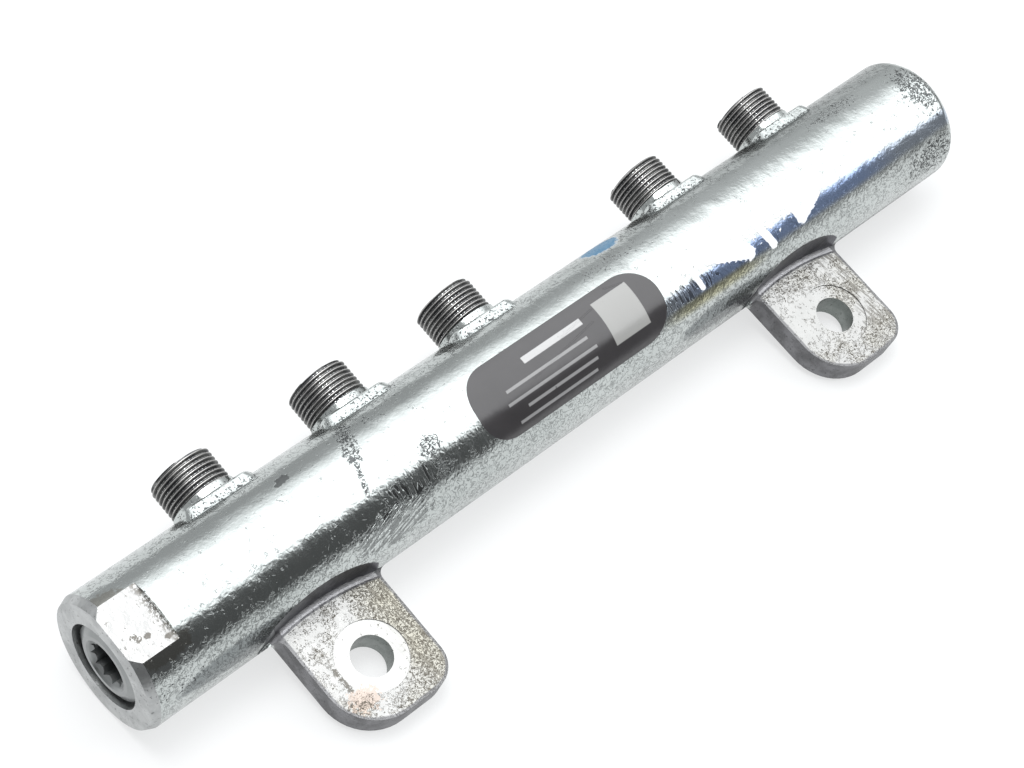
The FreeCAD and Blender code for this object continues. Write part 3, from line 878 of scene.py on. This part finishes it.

# %% [markdown]
# ## The end plug
#
# The plug's shape is right as it comes from the CAD model, so it only gets a
# material: steel turned with a fine feed, which leaves faint rings round its
# axis, and painted shade that darkens the deep parts of the tool socket and
# the groove round it.

# %% Material: plug
plug_steel, tree, skin, point = start_material("plug_steel")
on_bar = use(tree, PLACE, Point=point)
along, out = on_bar["Along"], on_bar["Out"]
rings = calc(tree, "SINE", calc(tree, "MULTIPLY", out, 2 * math.pi / 0.00035))
socket = between(tree, out, 0.0053, 0.0051)
# Painted shade: the socket and the groove are darker where they lie deep.
painted_deep_shade = calc(tree, "MULTIPLY", between(tree, along, 0.0016, 0.0027), between(tree, socket, 0, 1, 0.75, 0.5))
cloud = noise(tree, point, 300, detail=4)
colour = blend_colour(tree, cloud, (0.35, 0.36, 0.36, 1), (0.23, 0.24, 0.24, 1))
colour = blend_colour(tree, painted_deep_shade, colour, (0.08, 0.085, 0.09, 1))
feed(tree, skin.inputs["Base Color"], colour)
skin.inputs["Metallic"].default_value = 1.0
feed(tree, skin.inputs["Roughness"], calc(tree, "ADD", 0.3, calc(tree, "MULTIPLY", socket, 0.25)))
raise_surface(tree, skin, calc(tree, "ADD", calc(tree, "MULTIPLY", rings, 0.1), cloud), 0.00002)
plug = frame["nodes"]["end_plug"]
plug.data.materials.clear()
plug.data.materials.append(plug_steel)

# %% [markdown]
# ## The foil label
#
# The label is a dark foil with widely rounded corners, stuck over the top of
# the bar. It is drawn flat: a plane, its corners rounded, cut into narrow
# strips so that it can bend. A map of its flat shape is kept for the print, and
# then every corner is wrapped round the bar. The real print is left off: plain
# bars and a plain pale square stand in its place.

# %% Model the label
LABEL_START, LABEL_LENGTH = 0.0864, 0.0529
LABEL_LOW, LABEL_HIGH = math.radians(74.8), math.radians(141.0)
LABEL_CORNER, LABEL_THICKNESS = 0.0077, 0.00015
label_width = BAR_RADIUS * (LABEL_HIGH - LABEL_LOW)

deselect()
bpy.ops.mesh.primitive_plane_add(size=1)
label = name_it("foil_label")
bpy.ops.object.mode_set(mode="EDIT")
bpy.ops.transform.resize(value=(LABEL_LENGTH, label_width, 1))
bpy.ops.mesh.select_all(action="SELECT")
bpy.ops.mesh.bevel(offset=LABEL_CORNER, segments=14, affect="VERTICES")
for step in range(1, 34):
    bpy.ops.mesh.select_all(action="SELECT")
    bpy.ops.mesh.bisect(plane_co=(0, label_width * (step / 34 - 0.5), 0), plane_no=(0, 1, 0))
for step in range(1, 60):
    bpy.ops.mesh.select_all(action="SELECT")
    bpy.ops.mesh.bisect(plane_co=(LABEL_LENGTH * (step / 60 - 0.5), 0, 0), plane_no=(1, 0, 0))
bpy.ops.object.mode_set(mode="OBJECT")
flat_map = label.data.uv_layers.new(name="flat")
for loop in label.data.loops:
    corner = label.data.vertices[loop.vertex_index].co
    flat_map.data[loop.index].uv = (corner.x / LABEL_LENGTH + 0.5, corner.y / label_width + 0.5)
for corner in label.data.vertices:
    share = corner.co.y / label_width + 0.5
    # Low Y is the lug side of the label, which is the higher angle on the bar.
    turn = LABEL_HIGH + (LABEL_LOW - LABEL_HIGH) * share
    lift = 0.00001
    place = LABEL_START + LABEL_LENGTH / 2 + corner.co.x
    corner.co = (place, (BAR_RADIUS + lift) * math.cos(turn), (BAR_RADIUS + lift) * math.sin(turn))
pick(label)
bpy.ops.object.mode_set(mode="EDIT")
bpy.ops.mesh.select_all(action="SELECT")
bpy.ops.mesh.flip_normals()
bpy.ops.object.mode_set(mode="OBJECT")
foil = label.modifiers.new("foil", "SOLIDIFY")
foil.thickness = LABEL_THICKNESS - 0.00002
foil.offset = 1
bpy.ops.object.modifier_apply(modifier="foil")
bpy.ops.object.shade_smooth_by_angle(angle=math.radians(40))
print("label:", len(label.data.polygons), "faces,", round(1000 * label_width, 1), "mm wide")

# %% Material: label
label_foil, tree, skin, point = start_material("label_foil")
uv = tree.nodes.new("ShaderNodeUVMap")
uv.uv_map = "flat"
split = tree.nodes.new("ShaderNodeSeparateXYZ")
feed(tree, split.inputs[0], uv.outputs[0])
u, v = split.outputs[0], split.outputs[1]


def block(left, right, low, high, soft=0.004):
    """A plain printed rectangle, in shares of the label."""
    sides = calc(tree, "MULTIPLY", between(tree, u, left, left + soft), between(tree, u, right, right - soft))
    ends = calc(tree, "MULTIPLY", between(tree, v, low, low + 3 * soft), between(tree, v, high, high - 3 * soft))
    return calc(tree, "MULTIPLY", sides, ends)


def flat_place(u_share, v_share):
    """A place on the flat label, in metres."""
    return (u_share * LABEL_LENGTH, v_share * label_width, 0)


bars = block(0.30, 0.62, 0.70, 0.80)
for left, right, low in ((0.16, 0.60, 0.52), (0.14, 0.62, 0.37), (0.22, 0.60, 0.24), (0.16, 0.58, 0.11)):
    bars = calc(tree, "MAXIMUM", bars, calc(tree, "MULTIPLY", block(left, right, low, low + 0.05), 0.5))
square = block(0.70, 0.895, 0.24, 0.86)
worn = noise(tree, point, 900, detail=3)
kept = between(tree, worn, 0.18, 0.3)
DARK_FOIL, PALE_FOIL = (0.030, 0.028, 0.030, 1), (0.045, 0.042, 0.044, 1)
colour = blend_colour(tree, noise(tree, point, 150, detail=3), DARK_FOIL, PALE_FOIL)
colour = blend_colour(tree, calc(tree, "MULTIPLY", bars, kept), colour, (0.50, 0.50, 0.50, 1))
colour = blend_colour(tree, calc(tree, "MULTIPLY", square, kept), colour, (0.33, 0.33, 0.32, 1))
feed(tree, skin.inputs["Base Color"], colour)
skin.inputs["Specular IOR Level"].default_value = 0.85
feed(tree, skin.inputs["Roughness"], calc(tree, "ADD", 0.12, calc(tree, "MULTIPLY", worn, 0.08)))
on_label = vector_calc(tree, "MULTIPLY", uv.outputs[0], flat_place(1, 1))
creases = None
for start, end in (((0.50, 0.72), (0.69, 0.80)), ((0.30, 0.50), (0.66, 0.66)), ((0.80, 0.93), (0.88, 0.86))):
    crease = use(tree, STROKE, Place=on_label, From=flat_place(*start), To=flat_place(*end),
                 Width=0.00018, Ragged=0.3)["Mask"]
    creases = crease if creases is None else calc(tree, "MAXIMUM", creases, crease)
height = calc(tree, "ADD", noise(tree, point, 350, detail=2), calc(tree, "MULTIPLY", creases, 2.0))
raise_surface(tree, skin, height, 0.00003)
label.data.materials.append(label_foil)
move_by(label, LIE_DOWN)
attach(label, "root")
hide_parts("label_foil")

# %% Import json
import json
